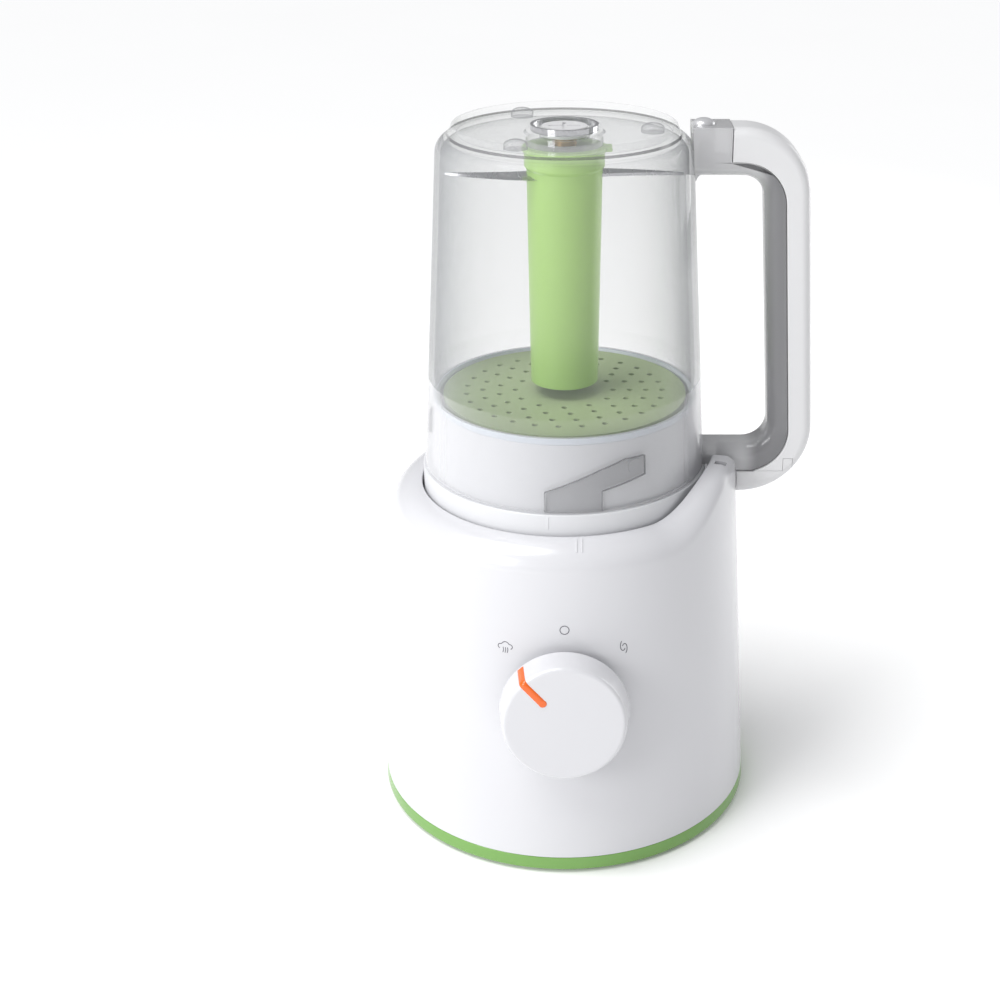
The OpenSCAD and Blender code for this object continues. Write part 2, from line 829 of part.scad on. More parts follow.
// Two swept blades from one sheet, each with a bowed cutting edge in front
module blade_solid() {
    cylinder(r = 8.9, h = blade_t);
    for (k = [0, 1]) rotate(180 * k) linear_extrude(blade_t) polygon(concat([[4, -5.8], [4, 11.3]],
        [for (i = [1:8]) let (t = i / 8) [blade_reach * t, 11.5 - 10.5 * t * t]],
        [for (i = [8:-1:1]) let (t = i / 8) [blade_reach * t, -6 * pow(1 - t, 3)]]));
}

module blades() color("silver") {
    translate([0, 0, blade_z]) difference() {
        blade_solid();
        translate([0, 0, -1]) cylinder(r = blade_shaft_r, h = 5);
    }
}

module blade_shaft() color("silver") {
    translate([0, 0, 276]) cylinder(r = blade_shaft_r, h = 27);
}

module jar_coupling() color("white") {
    difference() {
        translate([0, 0, 300.4]) cylinder(r = 9.2, h = 3.8);
        translate([0, 0, 300]) cylinder(r = blade_shaft_r, h = 3);
        translate([0, 0, 304.2]) cube([13, 1.6, 1.6], center = true);
        translate([0, 0, 304.2]) cube([1.6, 13, 1.6], center = true);
    }
}

// ---- tank cap

module cap_plug() color("white") {
    cap_frame() {
        translate([0, 0, -3]) cylinder(r = cap_bore_r - gap, h = 3 + cap_boss_out);
        translate([0, 0, cap_boss_out]) cylinder(r = cap_boss_r, h = 2);
        translate([0, 0, cap_boss_out + 2]) cylinder(r = 3, h = 5);
    }
}

module cap_seal() color("gray") {
    cap_frame() ring(5, cap_bore_r - 0.5, -5, -3);
}

module cap_grip() color("white") {
    cap_frame() difference() {
        union() {
            translate([0, 0, cap_boss_out + 2 + gap]) cylinder(r = cap_boss_r, h = 3);
            translate([-cap_boss_r + 1, -2.5, cap_boss_out + 2 + gap]) cube([2 * cap_boss_r - 2, 5, 8]);
        }
        translate([0, 0, cap_boss_out]) cylinder(r = 3 + run, h = 8);
    }
}

base_housing();
base_ring();
base_plate();
rubber_feet();
base_screws();
jar_seat();
seat_seals();
steam_pipe();
boiler_tank();
tank_cover();
heating_element();
thermostat();
motor_stator();
motor_coils();
lower_bracket();
upper_bracket();
motor_bearings();
motor_mounts();
rotary_switch();
cord_gland();
terminal_block();
control_board();
lock_switch();
plunger_spring();
switch_plunger();
knob();
knob_pointer();
knob_shaft();
rotor();
motor_shaft();
cooling_fan();
drive_coupling();
lock_ring();
lid();
lid_seal();
sieve();
jar();
handle_frame();
handle_grip();
handle_end_cap();
coupling_ring();
shaft_bush();
jar_feet();
push_rod();
rod_spring();
blade_hub();
blades();
blade_shaft();
jar_coupling();
cap_plug();
cap_seal();
cap_grip();
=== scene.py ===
"""Baby food maker: a steamer base with an upturned jar, its handle, lid, sieve, blade tube and knob.

Lengths in this script are millimetres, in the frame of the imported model. MM turns them into metres.
"""

import math

import bmesh
import bpy
from mathutils import Matrix, Vector


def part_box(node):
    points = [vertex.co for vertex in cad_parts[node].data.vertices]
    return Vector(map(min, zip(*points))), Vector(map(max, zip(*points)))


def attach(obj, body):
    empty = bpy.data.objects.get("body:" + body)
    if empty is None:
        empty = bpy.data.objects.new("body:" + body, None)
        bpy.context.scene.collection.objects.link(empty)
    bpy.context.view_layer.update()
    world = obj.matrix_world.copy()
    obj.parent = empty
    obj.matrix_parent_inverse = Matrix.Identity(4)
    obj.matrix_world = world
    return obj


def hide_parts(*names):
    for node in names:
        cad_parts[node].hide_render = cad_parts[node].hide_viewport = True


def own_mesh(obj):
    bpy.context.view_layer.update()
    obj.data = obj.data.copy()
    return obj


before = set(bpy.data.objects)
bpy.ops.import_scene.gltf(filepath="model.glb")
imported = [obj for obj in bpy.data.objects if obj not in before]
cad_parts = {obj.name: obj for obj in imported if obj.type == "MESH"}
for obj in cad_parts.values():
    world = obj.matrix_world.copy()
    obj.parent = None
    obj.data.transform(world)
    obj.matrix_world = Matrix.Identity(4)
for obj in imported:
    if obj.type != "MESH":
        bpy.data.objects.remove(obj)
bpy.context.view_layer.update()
MM = 0.001


def low(node):
    """Lowest corner of a CAD node, in millimetres."""
    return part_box(node)[0] / MM


def high(node):
    """Highest corner of a CAD node, in millimetres."""
    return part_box(node)[1] / MM


# ---- sizes, from the frame

RING_TOP = high("base_ring").z
BASE_R = high("base_housing").x
SHOULDER_R = 76.0
SHOULDER_Z = 138.4
RIM_Z = 151.3
RIM_ROUND = 12.4
HORN_Z = high("base_housing").z
HORN_ROUND = 5.0
WALL_T = 2.5
SEAT_R = 62.2
SEAT_Z = high("jar_seat").z - 2.0
COLLAR_R = 64.4
SKIRT_Z = low("jar").z
SKIRT_R = high("jar").x
JAR_TOP = high("jar").z
FLANGE_R = high("lid").x
FLANGE_LOW = 146.4
LID_TOP = high("lid").z
KNOB_Z = (low("knob").z + high("knob").z) / 2
KNOB_TILT = 3.37
KNOB_R = (high("knob").x - low("knob").x) / 2
CAP_TILT = 35.0
TUBE_TOP = high("blade_hub").z
TUBE_LOW = low("blade_hub").z
BLADE_Z = low("blades").z
GRIP_W = high("handle_grip").y - low("handle_grip").y
FRAME_W = high("handle_frame").y - low("handle_frame").y
BUTTON_X = 55.8
STEM_X = 57.2

WALL_SLOPE = (BASE_R - SHOULDER_R) / (SHOULDER_Z - RING_TOP)
JAR_SLOPE = 8.0 / 130.7


def wall_r(z):
    """Outer radius of the base at a height."""
    return BASE_R - (z - RING_TOP) * WALL_SLOPE


def jar_r(z):
    """Outer radius of the jar at a height."""
    return SKIRT_R - (z - SKIRT_Z) * JAR_SLOPE


def smooth(t):
    """Eases from 0 to 1."""
    t = min(max(t, 0.0), 1.0)
    return (1 - math.cos(math.pi * t)) / 2


def arc(cx, cy, radius, start, end, steps):
    """Points of an arc, angles in degrees."""
    turns = [math.radians(start + (end - start) * i / steps) for i in range(steps + 1)]
    return [(cx + radius * math.cos(a), cy + radius * math.sin(a)) for a in turns]


def rounded(corners, steps=5):
    """A closed outline whose corners (x, y, radius) are rounded off."""
    out = []
    count = len(corners)
    for i, (x, y, radius) in enumerate(corners):
        here = Vector((x, y))
        if radius <= 0:
            out.append((x, y))
            continue
        before = Vector(corners[i - 1][:2]) - here
        after = Vector(corners[(i + 1) % count][:2]) - here
        half = before.angle(after) / 2
        reach = min(radius / math.tan(half), before.length * 0.49, after.length * 0.49)
        a = here + before.normalized() * reach
        b = here + after.normalized() * reach
        for k in range(steps + 1):
            t = k / steps
            out.append(tuple(a * (1 - t) ** 2 + here * 2 * t * (1 - t) + b * t * t))
    return out


# ---- mesh tools


def finish_mesh(bm, name, sharp=32.0):
    """Turns a bmesh in millimetres into an object in metres, smooth except at sharp edges."""
    bmesh.ops.recalc_face_normals(bm, faces=bm.faces)
    for face in bm.faces:
        face.smooth = True
    limit = math.radians(sharp)
    for edge in bm.edges:
        edge.smooth = len(edge.link_faces) == 2 and edge.calc_face_angle(0) < limit
    bmesh.ops.scale(bm, vec=(MM, MM, MM), verts=bm.verts)
    mesh = bpy.data.meshes.new(name)
    bm.to_mesh(mesh)
    bm.free()
    obj = bpy.data.objects.new(name, mesh)
    bpy.context.scene.collection.objects.link(obj)
    return obj


def revolve_into(bm, outline, segments=160):
    """Adds the solid that a closed outline of (radius, height) sweeps round Z. Radius 0 is the axis."""
    rings = []
    for r, z in outline:
        if r < 1e-6:
            rings.append([bm.verts.new((0, 0, z))])
            continue
        turn = 2 * math.pi / segments
        rings.append([bm.verts.new((r * math.cos(turn * i), r * math.sin(turn * i), z))
                      for i in range(segments)])
    for a, b in zip(rings, rings[1:] + rings[:1]):
        if len(a) == 1 and len(b) == 1:
            continue
        for i in range(segments):
            j = (i + 1) % segments
            quad = [a[i % len(a)], a[j % len(a)], b[j % len(b)], b[i % len(b)]]
            bm.faces.new(list(dict.fromkeys(quad)))


def revolve(name, outline, segments=160, place=None, sharp=32.0):
    """A revolved piece, put in place by a matrix in millimetres."""
    bm = bmesh.new()
    revolve_into(bm, outline, segments)
    if place is not None:
        bm.transform(place)
    return finish_mesh(bm, name, sharp)


def prism_into(bm, outline, width):
    """Adds an outline of (x, z) made width thick across Y."""
    front = [bm.verts.new((x, -width / 2, z)) for x, z in outline]
    back = [bm.verts.new((x, width / 2, z)) for x, z in outline]
    bm.faces.new(front)
    bm.faces.new(back[::-1])
    count = len(outline)
    for i in range(count):
        j = (i + 1) % count
        bm.faces.new([front[i], back[i], back[j], front[j]])


def skin_into(bm, rows, capped=True):
    """Adds the skin over rows of points, each row a closed section, with both ends capped."""
    count = len(rows[0])
    for a, b in zip(rows, rows[1:]):
        for i in range(count):
            j = (i + 1) % count
            bm.faces.new([a[i], a[j], b[j], b[i]])
    if capped:
        bm.faces.new(rows[0][::-1])
        bm.faces.new(rows[-1])


def move_into(bm, part, place=None):
    """Puts a part in place and moves it into another bmesh."""
    if place is not None:
        part.transform(place)
    mesh = bpy.data.meshes.new("part")
    part.to_mesh(mesh)
    part.free()
    bm.from_mesh(mesh)
    bpy.data.meshes.remove(mesh)


def cylinder_into(bm, radius, z1, z2, place=None, segments=48):
    """Adds a plain cylinder for cutting or for pins."""
    part = bmesh.new()
    revolve_into(part, [(0, z1), (radius, z1), (radius, z2), (0, z2)], segments)
    move_into(bm, part, place)


def apply(obj, kind, **settings):
    """Adds a modifier, sets it and applies it."""
    modifier = obj.modifiers.new(kind.title(), kind)
    for key, value in settings.items():
        setattr(modifier, key, value)
    with bpy.context.temp_override(object=obj, active_object=obj, selected_objects=[obj]):
        bpy.ops.object.modifier_apply(modifier=modifier.name)


def cut(obj, tool, sharp=32.0, operation="DIFFERENCE"):
    """Cuts a tool's solid out of a piece, or keeps only what is inside it, and deletes the tool."""
    apply(obj, "BOOLEAN", operation=operation, solver="EXACT", object=tool)
    bpy.data.objects.remove(tool)
    bm = bmesh.new()
    bm.from_mesh(obj.data)
    limit = math.radians(sharp)
    for face in bm.faces:
        face.smooth = True
    for edge in bm.edges:
        edge.smooth = len(edge.link_faces) == 2 and edge.calc_face_angle(0) < limit
    bm.to_mesh(obj.data)
    bm.free()


def slab(name, outline, width, rounds):
    """An outline of (x, z) made width thick across Y. rounds gives the rounding in millimetres of
    the long edges, as a function of the point's place in the outline's plane."""
    bm = bmesh.new()
    prism_into(bm, outline, width)
    bm.normal_update()
    by_size = {}
    for edge in bm.edges:
        a, b = edge.verts
        along = abs(a.co.y - b.co.y) < 1e-6
        if along and abs(abs(a.co.y) - width / 2) < 1e-6:
            mid = (a.co + b.co) / 2
            by_size.setdefault(rounds(mid.x, mid.z), []).append(edge)
    for size in sorted(by_size, reverse=True):
        edges = [e for e in by_size[size] if e.is_valid]
        if size > 0 and edges:
            bmesh.ops.bevel(bm, geom=edges, offset=size, segments=6, profile=0.5,
                            affect="EDGES", clamp_overlap=False)
    obj = finish_mesh(bm, name, 38.0)
    apply(obj, "WEIGHTED_NORMAL", keep_sharp=True)
    return obj


# ---- materials

MATERIALS = {}


def new_material(name):
    """Makes a material and gives it with its node tree and its shader."""
    material = bpy.data.materials.new(name)
    material.use_nodes = True
    tree = material.node_tree
    shader = next(n for n in tree.nodes if n.type == "BSDF_PRINCIPLED")
    MATERIALS[name] = material
    return material, tree, shader


def noise_of(tree, scale, detail=3.0, stretch=(1, 1, 1)):
    """Noise in the piece's own coordinates, with scale in cells per metre."""
    place = tree.nodes.new("ShaderNodeTexCoord")
    mapping = tree.nodes.new("ShaderNodeMapping")
    mapping.inputs["Scale"].default_value = stretch
    noise = tree.nodes.new("ShaderNodeTexNoise")
    noise.inputs["Scale"].default_value = scale
    noise.inputs["Detail"].default_value = detail
    tree.links.new(place.outputs["Object"], mapping.inputs["Vector"])
    tree.links.new(mapping.outputs["Vector"], noise.inputs["Vector"])
    return noise.outputs["Fac"]


def bands_of(tree, scale, axis="Z"):
    """Straight bands across an axis."""
    place = tree.nodes.new("ShaderNodeTexCoord")
    wave = tree.nodes.new("ShaderNodeTexWave")
    wave.wave_type = "BANDS"
    wave.bands_direction = axis
    wave.inputs["Scale"].default_value = scale
    wave.inputs["Distortion"].default_value = 0.4
    tree.links.new(place.outputs["Object"], wave.inputs["Vector"])
    return wave.outputs["Fac"]


def ramp(tree, fac, start, end):
    """Maps 0..1 onto a range of numbers."""
    node = tree.nodes.new("ShaderNodeMapRange")
    node.inputs["To Min"].default_value = start
    node.inputs["To Max"].default_value = end
    tree.links.new(fac, node.inputs["Value"])
    return node.outputs["Result"]


def tone(tree, fac, dark, light):
    """Mixes two colours by a pattern."""
    node = tree.nodes.new("ShaderNodeMix")
    node.data_type = "RGBA"
    node.inputs["A"].default_value = (*dark, 1)
    node.inputs["B"].default_value = (*light, 1)
    tree.links.new(fac, node.inputs["Factor"])
    return node.outputs["Result"]


def bump(tree, shader, fac, strength, distance):
    """Raises and lowers the surface by a pattern."""
    node = tree.nodes.new("ShaderNodeBump")
    node.inputs["Strength"].default_value = strength
    node.inputs["Distance"].default_value = distance
    tree.links.new(fac, node.inputs["Height"])
    tree.links.new(node.outputs["Normal"], shader.inputs["Normal"])


def plastic(name, colour, rough, spread=0.02, grain=0.00002, coat=0.0):
    """Moulded plastic: faint flow marks in the colour, uneven gloss and a fine grain."""
    material, tree, shader = new_material(name)
    flow = noise_of(tree, 22, 4, (1, 1, 0.35))
    dark = [c * (1 - spread) for c in colour]
    light = [min(c * (1 + spread), 1.0) for c in colour]
    tree.links.new(tone(tree, flow, dark, light), shader.inputs["Base Color"])
    tree.links.new(ramp(tree, noise_of(tree, 60), rough * 0.8, rough * 1.2), shader.inputs["Roughness"])
    bump(tree, shader, noise_of(tree, 1500, 2), 0.25, grain)
    shader.inputs["IOR"].default_value = 1.5
    shader.inputs["Coat Weight"].default_value = coat
    shader.inputs["Coat Roughness"].default_value = 0.08
    return material


def metal(name, colour, rough, stretch, metallic=1.0):
    """Metal brushed or drawn along the short sides of the stretched noise."""
    material, tree, shader = new_material(name)
    lines = noise_of(tree, 220, 5, stretch)
    tree.links.new(tone(tree, lines, [c * 0.86 for c in colour], colour), shader.inputs["Base Color"])
    tree.links.new(ramp(tree, lines, rough * 0.7, rough * 1.3), shader.inputs["Roughness"])
    bump(tree, shader, lines, 0.2, 0.00002)
    shader.inputs["Metallic"].default_value = metallic
    return material


def banded(name, dark, light, scale, axis, rough, metallic):
    """Stacked sheets or wound wire."""
    material, tree, shader = new_material(name)
    bands = bands_of(tree, scale, axis)
    tree.links.new(tone(tree, bands, dark, light), shader.inputs["Base Color"])
    tree.links.new(ramp(tree, bands, rough, rough * 1.4), shader.inputs["Roughness"])
    bump(tree, shader, bands, 0.6, 0.0002)
    shader.inputs["Metallic"].default_value = metallic
    return material


def powered(tree, fac, power):
    """Raises a 0..1 value to a power."""
    node = tree.nodes.new("ShaderNodeMath")
    node.operation = "POWER"
    node.inputs[1].default_value = power
    tree.links.new(fac, node.inputs[0])
    return node.outputs["Value"]


def past_x_blend(tree, start, end):
    """0 where x is below start and 1 beyond end, in millimetres, where a second colour takes over."""
    place = tree.nodes.new("ShaderNodeTexCoord")
    split = tree.nodes.new("ShaderNodeSeparateXYZ")
    step = tree.nodes.new("ShaderNodeMapRange")
    step.interpolation_type = "SMOOTHSTEP"
    step.inputs["From Min"].default_value = start * MM
    step.inputs["From Max"].default_value = end * MM
    tree.links.new(place.outputs["Object"], split.inputs["Vector"])
    tree.links.new(split.outputs["X"], step.inputs["Value"])
    return step.outputs["Result"]


def blend_to(tree, fac, colour_socket, other):
    """Mixes a linked colour towards another colour."""
    node = tree.nodes.new("ShaderNodeMix")
    node.data_type = "RGBA"
    node.inputs["B"].default_value = (*other, 1)
    tree.links.new(colour_socket, node.inputs["A"])
    tree.links.new(fac, node.inputs["Factor"])
    return node.outputs["Result"]


def clear(name, colour, face_on, edge_on, power, rough, spread=0.03, edge=None, thick=None):
    """Clear plastic: thin to look through face on and denser where the wall is seen edge on. edge is the
    colour seen edge on: a dark one there is partly the denser plastic and partly painted shade for the dark
    edges of clear plastic. thick is (start, end, colour): that colour takes over past x = start..end in
    millimetres."""
    material, tree, shader = new_material(name)
    haze = noise_of(tree, 18, 3, (1, 1, 0.25))
    shade = tone(tree, haze, [c * (1 - spread) for c in colour], colour)
    weight = tree.nodes.new("ShaderNodeLayerWeight")
    weight.inputs["Blend"].default_value = 0.5
    facing = weight.outputs["Facing"]
    # Past an x range a second colour takes over; on the frame it is a darker grey over the vertical bar.
    if thick:
        shade = blend_to(tree, past_x_blend(tree, thick[0], thick[1]), shade, thick[2])
    # Where the wall is seen edge on the colour goes dark: painted shade for the dark edges of clear
    # plastic, over the real density.
    if edge:
        shade = blend_to(tree, powered(tree, facing, 4.0), shade, edge)
    tree.links.new(shade, shader.inputs["Base Color"])
    tree.links.new(ramp(tree, noise_of(tree, 90), rough * 0.8, rough * 1.2), shader.inputs["Roughness"])
    tree.links.new(ramp(tree, powered(tree, facing, power), face_on, edge_on), shader.inputs["Alpha"])
    shader.inputs["IOR"].default_value = 1.5
    return material


def make_materials():
    plastic("white_shell", (0.66, 0.66, 0.685), 0.24, 0.012, coat=0.3)
    plastic("white_lid", (0.68, 0.685, 0.705), 0.35, 0.015)
    plastic("inner_white", (0.72, 0.72, 0.73), 0.45, 0.03)
    plastic("white_grip", (0.71, 0.71, 0.72), 0.3, 0.012)
    plastic("green_ring", (0.17, 0.36, 0.08), 0.25, 0.05, coat=0.3)
    plastic("green_part", (0.38, 0.60, 0.17), 0.32, 0.06)
    plastic("green_sieve", (0.42, 0.52, 0.28), 0.4, 0.05)
    plastic("pointer", (0.80, 0.135, 0.012), 0.22, 0.06, coat=0.4)
    plastic("black_plastic", (0.018, 0.018, 0.02), 0.5, 0.2, 0.00005)
    plastic("grey_plastic", (0.06, 0.06, 0.065), 0.45, 0.15, 0.00005)
    plastic("rubber", (0.02, 0.02, 0.022), 0.75, 0.25, 0.0001)
    plastic("silicone", (0.66, 0.70, 0.76), 0.5, 0.05)
    plastic("print", (0.10, 0.10, 0.12), 0.5, 0.1)
    metal("steel", (0.60, 0.60, 0.62), 0.28, (1, 0.06, 1))
    metal("chrome", (0.72, 0.72, 0.74), 0.10, (1, 1, 0.3))
    metal("button_metal", (0.74, 0.74, 0.76), 0.3, (1, 1, 0.3), 0.45)
    metal("aluminium", (0.62, 0.63, 0.65), 0.38, (1, 1, 0.08))
    metal("bronze", (0.55, 0.36, 0.16), 0.4, (1, 1, 1))
    banded("lamination", (0.05, 0.05, 0.06), (0.22, 0.22, 0.24), 900, "Z", 0.4, 0.6)
    banded("copper", (0.28, 0.08, 0.02), (0.62, 0.24, 0.08), 600, "Z", 0.3, 0.7)
    banded("board", (0.01, 0.09, 0.03), (0.02, 0.16, 0.06), 160, "Y", 0.35, 0.0)
    plastic("rod_grey", (0.11, 0.11, 0.115), 0.4, 0.1)
    # The edge colours of clear_jar and grey_frame are painted shade: dark rims where a wall is seen edge
    # on.
    clear("clear_jar", (0.42, 0.43, 0.45), 0.085, 0.96, 2.4, 0.06, edge=(0.11, 0.11, 0.12))
    clear("clear_end", (0.72, 0.73, 0.74), 0.03, 0.45, 2.6, 0.06)
    clear("clear_skirt", (0.74, 0.74, 0.76), 0.10, 0.85, 2.0, 0.08)
    # The groove and line plastics are darker and denser: painted shade in the jar's grooves and round its
    # ridge.
    clear("groove_painted_shade", (0.22, 0.22, 0.235), 0.28, 0.8, 1.4, 0.2)
    clear("line_painted_shade", (0.13, 0.13, 0.14), 0.6, 0.95, 1.0, 0.15)
    # The frame's vertical bar, past x 76..84 mm, is a darker grey than its arms.
    clear("grey_frame", (0.64, 0.64, 0.655), 0.74, 0.97, 1.2, 0.16, 0.08, edge=(0.14, 0.14, 0.145),
          thick=(76, 84, (0.26, 0.26, 0.27)))


def dress(obj, material, body):
    """Gives a new piece its material and body."""
    obj.data.materials.clear()
    obj.data.materials.append(MATERIALS[material])
    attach(obj, body)
    return obj


# ---- base


def crest(az):
    """Height and outer rounding of the base's upper edge at a bearing in degrees."""
    if -56 <= az <= -10.2:
        t = smooth((az + 56) / 38)
    elif -10.2 < az < -9.2:
        t = smooth((-9.2 - az) / 1.0)
    else:
        t = 0.0
    return RIM_Z + (HORN_Z - RIM_Z) * t, RIM_ROUND + (HORN_ROUND - RIM_ROUND) * t, t


def housing_outline(az):
    """Closed outline (radius, height) of the housing's wall at a bearing."""
    top, radius, t = crest(az)
    side_r = wall_r(top - radius)
    in_r = SEAT_R + 0.2 + 1.7 * t
    edge = 0.6 + 1.0 * t
    outside = [(wall_r(RING_TOP), RING_TOP), (wall_r(60), 60), (wall_r(110), 110), (wall_r(130), 130)]
    shoulder = arc(side_r - radius, top - radius, radius, 3.4, 90, 20)
    lip = arc(in_r + edge, top - edge, edge, 90, 180, 5)
    inside = [(SEAT_R + 0.1, 147), (SEAT_R, SEAT_Z), (COLLAR_R, SEAT_Z), (COLLAR_R, 147.6)]
    under = arc(63.6, 138.4, 10.4, 80, 0, 6)
    return outside + shoulder + lip + inside + under + [(wall_r(RING_TOP) - WALL_T, RING_TOP)]


def housing_shell():
    """The white housing, with the rim that sweeps up into the raised wall beside the handle."""
    steps = [-180 + 2 * i for i in range(58)]
    steps += [-64 + 0.75 * i for i in range(71)]
    steps += [-10.7 + 0.1 * i for i in range(19)]
    steps += [-8.5 + 2 * i for i in range(94)]
    bm = bmesh.new()
    columns = []
    for az in steps:
        turn = math.radians(az)
        columns.append([bm.verts.new((r * math.cos(turn), r * math.sin(turn), z))
                        for r, z in housing_outline(az)])
    skin_into(bm, columns + columns[:1], capped=False)
    shell = finish_mesh(bm, "housing_shell", 40.0)
    holes = bmesh.new()
    cylinder_into(holes, 12.2, -14, 14, cap_place())
    cord_place = Matrix.Translation((0, 0, 20)) @ Matrix.Rotation(-math.pi / 2, 4, "X")
    cylinder_into(holes, 4.9, 60, 100, cord_place)
    slot_place = Matrix.Rotation(math.radians(-17), 4, "Z") @ Matrix.Translation((69.5, 0, HORN_Z))
    bmesh.ops.create_cube(holes, size=1, matrix=slot_place @ Matrix.Diagonal((5, 3.4, 9, 1)))
    cut(shell, finish_mesh(holes, "holes"), 40.0)
    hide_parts("base_housing")
    dress(shell, "white_shell", "base")


def cap_place():
    """Frame of the water inlet: its +Z is the way the cap comes out."""
    at_z = 124.0
    lean = Matrix.Rotation(math.radians(CAP_TILT - 90), 4, "X")
    return Matrix.Translation((0, wall_r(at_z), at_z)) @ lean


def inlet_neck():
    """The round neck of the water inlet, behind the jar."""
    outline = rounded([(9, -8, 0.3), (12.5, -8, 0.3), (12.5, 9.4, 0.8), (9, 9.4, 0.4)])
    neck = revolve("inlet_neck", outline, 96, cap_place())
    dress(neck, "white_shell", "base")


def inlet_cap():
    """The cap's turning grip: a disc with a rounded bar across it."""
    bm = bmesh.new()
    revolve_into(bm, rounded([(0, 11.9, 0), (12.4, 11.9, 0.4), (12.4, 14.7, 1.0), (0, 14.7, 0)]), 96)
    bar = bmesh.new()
    prism_into(bar, rounded([(-11.2, 14, 0), (11.2, 14, 0), (9.8, 19.7, 3), (-9.8, 19.7, 3)], 8), 4.6)
    edges = [e for e in bar.edges if abs(e.verts[0].co.y - e.verts[1].co.y) < 1e-6]
    bmesh.ops.bevel(bar, geom=edges, offset=0.9, segments=4, profile=0.5, affect="EDGES")
    move_into(bm, bar)
    bm.transform(cap_place())
    grip = finish_mesh(bm, "inlet_cap_grip", 35.0)
    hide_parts("cap_grip")
    dress(grip, "white_grip", "cap_grip_unit")


def base_band():
    """The green ring round the foot of the base."""
    low_r = high("base_ring").x
    inner = BASE_R - WALL_T
    outline = rounded([(inner, 1.5, 0), (low_r - 0.1, 1.5, 1.4), (low_r - 0.1, 3.2, 1.0),
                       (BASE_R, RING_TOP - 0.15, 0.5), (inner, RING_TOP - 0.15, 0)])
    ring = revolve("green_band", outline, 220)
    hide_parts("base_ring")
    dress(ring, "green_ring", "base")


def wall_point(x, z, out=0.0):
    """A point on the base's front wall."""
    r = wall_r(z) + out
    return Vector((x, -math.sqrt(max(r * r - x * x, 0.0)), z))


def ribbon_into(bm, line, width, thick, surface, closed=False):
    """Adds a thin raised line along points (u, v) that surface(u, v, out) puts in space."""
    count = len(line)
    rows = []
    for i, point in enumerate(line):
        here = Vector(point)
        a = Vector(line[i - 1] if closed or i else line[0])
        b = Vector(line[(i + 1) % count] if closed or i < count - 1 else line[-1])
        along = (b - a).normalized()
        side = Vector((-along.y, along.x)) * width / 2
        corners = [(here - side, -0.05), (here - side, thick), (here + side, thick), (here + side, -0.05)]
        rows.append([bm.verts.new(surface(p.x, p.y, out)) for p, out in corners])
    skin_into(bm, rows + rows[:1] if closed else rows, capped=not closed)


def symbols():
    """Three plain printed signs over the knob: off, steam and blend."""
    line_w = 0.32
    reach = 35.3
    spread = 43.6

    def spot(turn):
        a = math.radians(turn)
        return reach * math.sin(a), KNOB_Z + reach * math.cos(a) * 0.998

    bm = bmesh.new()
    ux, uz = spot(0)
    ring = [(ux + 1.85 * math.cos(a), uz + 1.85 * math.sin(a))
            for a in [math.tau * i / 40 for i in range(40)]]
    ribbon_into(bm, ring, line_w, 0.05, wall_point, closed=True)

    cx, cz = spot(-spread)
    bumps = [(-1.9, 0.2, 1.05, 250, 80), (0.1, 0.9, 1.5, 150, 25), (1.9, 0.3, 1.05, 95, -70)]
    cloud = []
    for bx, bz, radius, start, end in bumps:
        cloud += arc(cx + bx, cz + bz, radius, start, end, 12)
    ribbon_into(bm, cloud, line_w, 0.05, wall_point, closed=False)
    for k in range(3):
        x = cx - 0.9 + 0.9 * k
        wisp = [(x + 0.16 * math.sin(1.6 * t), cz - 0.1 - t) for t in [0.35 * i for i in range(8)]]
        ribbon_into(bm, wisp, line_w * 0.9, 0.05, wall_point)

    sx, sz = spot(spread)
    for flip in (1, -1):
        blade = []
        for i in range(19):
            t = i / 18
            angle = math.radians(-60 + 210 * t)
            radius = 1.1 + 2.2 * (1 - t) ** 1.5
            blade.append((sx + flip * radius * 0.55 * math.cos(angle),
                          sz + flip * radius * math.sin(angle)))
        ribbon_into(bm, blade, line_w, 0.05, wall_point)
    dress(finish_mesh(bm, "knob_symbols"), "print", "base")


def index_marks():
    """Faint raised marks: two on the base's shoulder and one on the lid's flange."""
    bm = bmesh.new()

    def shoulder_point(x, turn, out):
        a = math.radians(turn)
        reach = RIM_ROUND + out
        r = wall_r(RIM_Z - RIM_ROUND) - RIM_ROUND + reach * math.cos(a)
        return Vector((x, -math.sqrt(r * r - x * x), RIM_Z - RIM_ROUND + reach * math.sin(a)))

    for x in (4.9, 7.1):
        rows = []
        for i in range(9):
            turn = 50 + 34 * i / 8
            rows.append([bm.verts.new(shoulder_point(x + dx, turn, out))
                         for dx, out in ((-0.3, -0.1), (-0.22, 0.22), (0.22, 0.22), (0.3, -0.1))])
        skin_into(bm, rows)
    dress(finish_mesh(bm, "shoulder_marks"), "white_shell", "base")

    bm = bmesh.new()
    mark_x = -6.7
    r = FLANGE_R - 0.25
    y = -math.sqrt(r * r - mark_x * mark_x)
    place = Matrix.Translation((mark_x, y, 156.5)) @ Matrix.Diagonal((0.8, 0.8, 5.2, 1))
    bmesh.ops.create_cube(bm, size=1, matrix=place)
    bmesh.ops.bevel(bm, geom=bm.edges[:], offset=0.2, segments=3, profile=0.5, affect="EDGES")
    dress(finish_mesh(bm, "lid_mark"), "white_lid", "lid_unit")


# ---- knob

REST_TURN = 132.0

def knob_place():
    """Frame of the knob: its +Z is the wall's outward normal."""
    return (Matrix.Translation((0, -wall_r(KNOB_Z), KNOB_Z))
            @ Matrix.Rotation(math.radians(90 - KNOB_TILT), 4, "X"))


